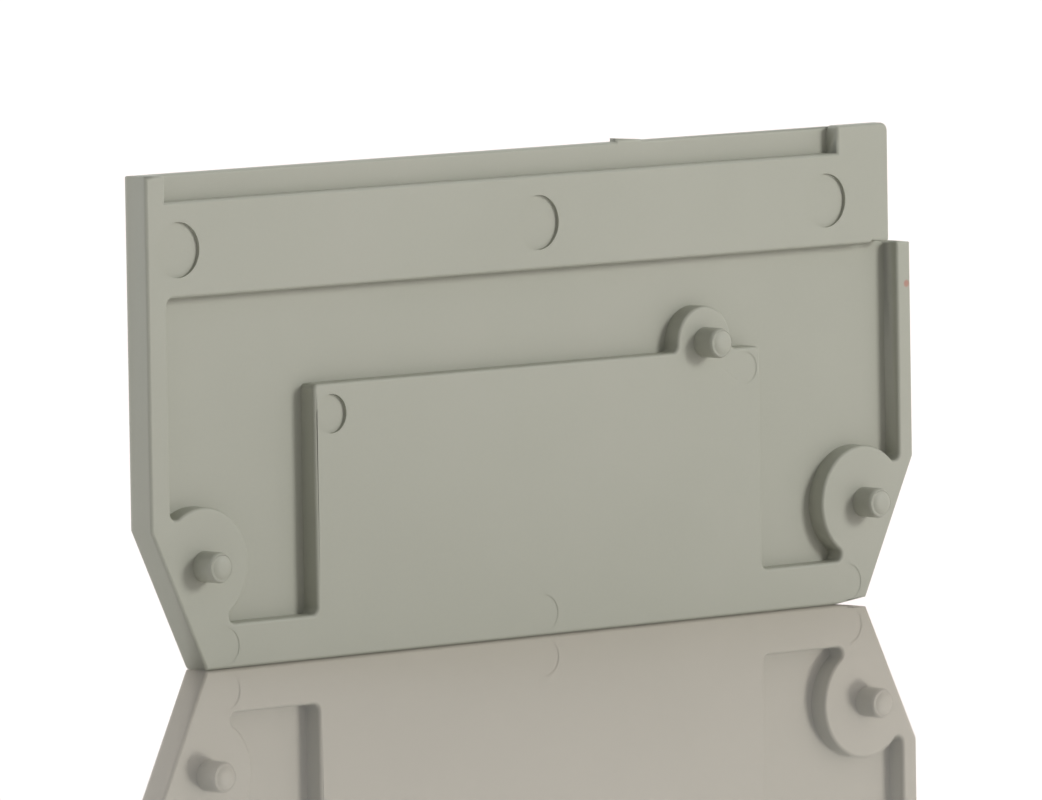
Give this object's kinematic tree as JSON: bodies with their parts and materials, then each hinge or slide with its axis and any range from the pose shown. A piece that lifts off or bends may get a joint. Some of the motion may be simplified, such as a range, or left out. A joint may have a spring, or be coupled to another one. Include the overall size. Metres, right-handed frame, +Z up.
{
  "type": "terminal block end cover",
  "caption": "Thin grey plastic end cover for a row of rail terminal blocks, with a recessed inner side and locating pins.",
  "frame": {"origin": "middle of the bottom edge, half way between the outer face and the tips of the pins", "axes": "+X along the plate towards the stepped end block, +Y out of the plain outer face, so the pins point to -Y, +Z up"},
  "size_m": [0.0604, 0.0038, 0.0289],
  "materials": {
    "grey_polyamide": "satin"
  },
  "bodies": {
    "root": {"end_cover": "grey_polyamide"}
  },
  "joints": []
}
